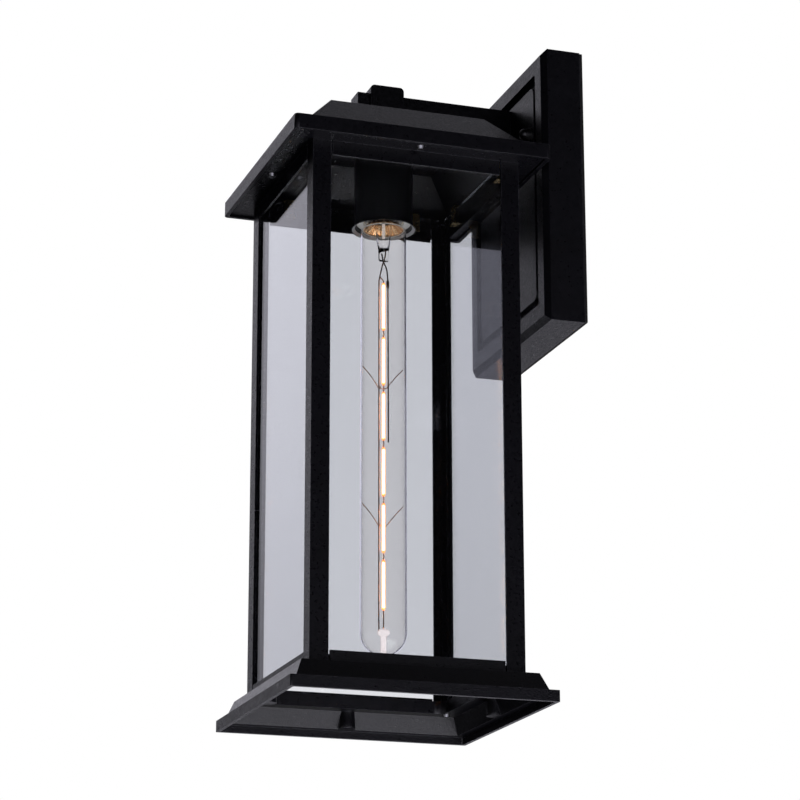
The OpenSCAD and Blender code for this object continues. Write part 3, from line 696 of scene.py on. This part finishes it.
# The stem: a flare sealed to the neck, a tube drawn down, and a flat pinch that holds the wires.
stem_stations = [(10.9, 10.9, CAP + 5.8), (7.6, 7.6, CAP + 3.4), (5.9, 5.9, CAP - 1), (5.4, 5.4, CAP - 7),
                 (4.6, 4.9, CAP - 13), (3.4, 4.3, CAP - 17), (1.9, 3.9, CAP - 20), (1.35, 3.6, CAP - 24),
                 (1.3, 3.55, CAP - 27.4), (0.9, 3.1, CAP - 28.8), (0.02, 0.02, CAP - 29),
                 (0.02, 0.02, CAP - 19), (1.2, 2.9, CAP - 18.4), (2.8, 3.6, CAP - 16), (3.8, 4.1, CAP - 12.4),
                 (4.5, 4.5, CAP - 7), (5.0, 5.0, CAP - 1), (6.7, 6.7, CAP + 3.8), (9.9, 9.9, CAP + 5.8)]
stem = new_piece("bulb_flared_stem", oval_skin("bulb_flared_stem", stem_stations), "lamp", "lamp_glass")
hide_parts("bulb_stem")

# The tube inside the stem is painted pale and glows of its own, and the bead under the sticks glows too: both
# are painted light standing in for the light of the sticks.
exhaust_profile = [(1.0, CAP - 12), (1.0, CAP + 5), (0.6, CAP + 5), (0.6, CAP - 12)]
lit_glass = lit(moulded("lit_glass", (0.9, 0.86, 0.8), 0.3, 0.00002, 0.1), (1.0, 0.86, 0.76), 0.55)
new_piece("bulb_exhaust_tube", lathe("bulb_exhaust_tube", exhaust_profile, 28), "lamp", "lamp_glass",
          lit_glass)

bead_profile = [(0.02, TUBE_FOOT + 1.3), (1.6, TUBE_FOOT + 1.3), (2.0, TUBE_FOOT + 2.2),
                (1.85, TUBE_FOOT + 7), (2.0, BEAD - 0.6), (2.5, BEAD + 0.5), (3.7, BEAD + 1.5),
                (4.35, BEAD + 2.6), (4.0, BEAD + 3.7), (3.1, BEAD + 4.5), (1.8, BEAD + 4.9),
                (0.02, BEAD + 5.0)]
bead_glass = lit(clear_glass("bead_glass", (0.99, 0.985, 0.98), 1.12, 0.00005, 120), (1.0, 0.80, 0.76), 0.22)
bead = new_piece("bulb_glass_bead", lathe("bulb_glass_bead", bead_profile, 40), "lamp", "lamp_glass",
                 bead_glass)
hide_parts("bulb_stem")


def crumple(r, z, turn):
    """Radial creases in the lining, deepest half way out."""
    wave = math.sin(2 * math.pi * 17 * turn) + 0.6 * math.sin(2 * math.pi * 31 * turn + 1.3)
    return r + 0.22 * wave * max(0.0, 1 - abs(r - 10) / 5)


NECK_LINING = [(13.9, CAP - 6.3), (12.4, CAP - 5.1), (10.9, CAP - 3.4), (9.2, CAP - 2.2), (7.6, CAP - 1.2),
               (6.4, CAP - 0.6), (6.4, CAP - 0.3), (7.6, CAP - 0.9), (9.3, CAP - 1.9), (11.0, CAP - 2.9),
               (12.5, CAP - 4.8), (13.9, CAP - 6.0)]
# The lining's two colours are its painted highlight and its painted shade.
new_piece("bulb_neck_lining", lathe("bulb_neck_lining", NECK_LINING, 144, crumple), "lamp", "shell_brass",
          neck_lining("neck_copper", (0.96, 0.70, 0.42), (0.80, 0.34, 0.09)))
# The seal ring takes the porcelain finish, with its painted glow.
rim_profile = [(14.05 + 0.28 * math.cos(a), CAP - 6.35 + 0.4 * math.sin(a))
               for a in (k * math.pi / 4 for k in range(8))]
new_piece("bulb_neck_seal", lathe("bulb_neck_seal", rim_profile, 96), "lamp", "porcelain")


# ---------- studio ----------

def studio_floor(depth):
    """A wide pale floor, which no surface of the lantern mirrors or takes light from."""
    mesh = bpy.data.meshes.new("floor")
    half = 30.0
    mesh.from_pydata([(-half, -half, depth), (half, -half, depth), (half, half, depth), (-half, half, depth)],
                     [], [(0, 1, 2, 3)])
    floor = bpy.data.objects.new("floor", mesh)
    bpy.context.scene.collection.objects.link(floor)
    f = Finish("floor", Roughness=0.9, Emission_Strength=0.45)
    shade = f.blend(f.spread(f.noise(3, 3), 0, 1), (0.86, 0.86, 0.86), (0.83, 0.83, 0.83))
    mesh.materials.append(f.finish(shade))
    floor.visible_diffuse = False
    floor.visible_glossy = False


def soft_light(name, place, target, size, watts):
    light = bpy.data.lights.new(name, "AREA")
    light.shape = "RECTANGLE"
    light.size, light.size_y = size
    light.energy = watts
    lamp = bpy.data.objects.new(name, light)
    lamp.location = place
    lamp.visible_camera = False
    lamp.rotation_mode = "QUATERNION"
    lamp.rotation_quaternion = (Vector(target) - Vector(place)).to_track_quat("-Z", "Y")
    bpy.context.scene.collection.objects.link(lamp)


WALL_LIGHT = 2.0
ROOM_SHADE = 0.006
SKY_LIGHT = 0.72
SCREEN_LIGHT = 5.0
ROOM_TINT = (0.97, 0.955, 1.07)


def studio_world():
    """White where the camera or a pane looks straight out, and a soft room of unequal walls for all else."""
    world = bpy.data.worlds.new("studio")
    world.use_nodes = True
    bpy.context.scene.world = world
    tree = world.node_tree
    tree.nodes.clear()

    def math_node(operation, a, b):
        node = tree.nodes.new("ShaderNodeMath")
        node.operation = operation
        for value, socket in ((a, node.inputs[0]), (b, node.inputs[1])):
            if isinstance(value, (int, float)):
                socket.default_value = value
            else:
                tree.links.new(value, socket)
        return node.outputs[0]

    def from_zero(value):
        return math_node("MAXIMUM", value, 0.0)

    def zero_to_one(value):
        return math_node("MINIMUM", from_zero(value), 1.0)

    split = tree.nodes.new("ShaderNodeSeparateXYZ")
    tree.links.new(tree.nodes.new("ShaderNodeTexCoord").outputs["Generated"], split.inputs[0])
    x, y, z = split.outputs
    # A pale wall to the left, brighter above the horizon and towards the building than below and in front.
    leftward = math_node("POWER", from_zero(math_node("MULTIPLY", x, -1.0)), 3.0)
    upward = math_node("ADD", math_node("ADD", z, math_node("MULTIPLY", y, 0.8)), 0.15)
    wall = math_node("MULTIPLY", leftward, zero_to_one(math_node("DIVIDE", upward, 0.6)))
    walls = math_node("ADD", math_node("MULTIPLY", wall, WALL_LIGHT), ROOM_SHADE)
    # A patch of sky straight up, on the building's side.
    overhead = math_node("POWER", from_zero(z), 4.0)
    inward = zero_to_one(math_node("DIVIDE", math_node("ADD", y, -0.1), 0.35))
    sky = math_node("MULTIPLY", math_node("MULTIPLY", overhead, inward), SKY_LIGHT)
    # A low pale screen to the right, seen only in surfaces that face it and lean down.
    rightward = math_node("POWER", from_zero(x), 3.0)
    low_down = zero_to_one(math_node("DIVIDE", z, -0.25))
    screen = math_node("MULTIPLY", math_node("MULTIPLY", rightward, low_down), SCREEN_LIGHT)
    total = math_node("ADD", math_node("ADD", walls, sky), screen)
    path = tree.nodes.new("ShaderNodeLightPath")
    straight = math_node("MAXIMUM", path.outputs["Is Camera Ray"], path.outputs["Is Transmission Ray"])
    bounces = math_node("ADD", path.outputs["Diffuse Depth"], path.outputs["Glossy Depth"])
    direct = math_node("MULTIPLY", straight, math_node("LESS_THAN", bounces, 0.5))
    strength = math_node("ADD", math_node("MULTIPLY", math_node("SUBTRACT", 1.0, direct), total), direct)
    background = tree.nodes.new("ShaderNodeBackground")
    tree.links.new(strength, background.inputs["Strength"])
    tint = tree.nodes.new("ShaderNodeMix")
    tint.data_type = "RGBA"
    tree.links.new(direct, tint.inputs["Factor"])
    tint.inputs[6].default_value = (*ROOM_TINT, 1)
    tint.inputs[7].default_value = (1, 1, 1, 1)
    tree.links.new(tint.outputs[2], background.inputs["Color"])
    output = tree.nodes.new("ShaderNodeOutputWorld")
    tree.links.new(background.outputs[0], output.inputs[0])


studio_floor(-2.0)
studio_world()
soft_light("below", (0.55, 0.40, -1.85), (0, -0.12, -0.3), (1.6, 1.6), 34)
soft_light("front_low", (0.0, -3.0, -1.0), (0, -0.1, -0.1), (1.6, 0.9), 6)
bpy.context.scene.view_settings.view_transform = "Standard"
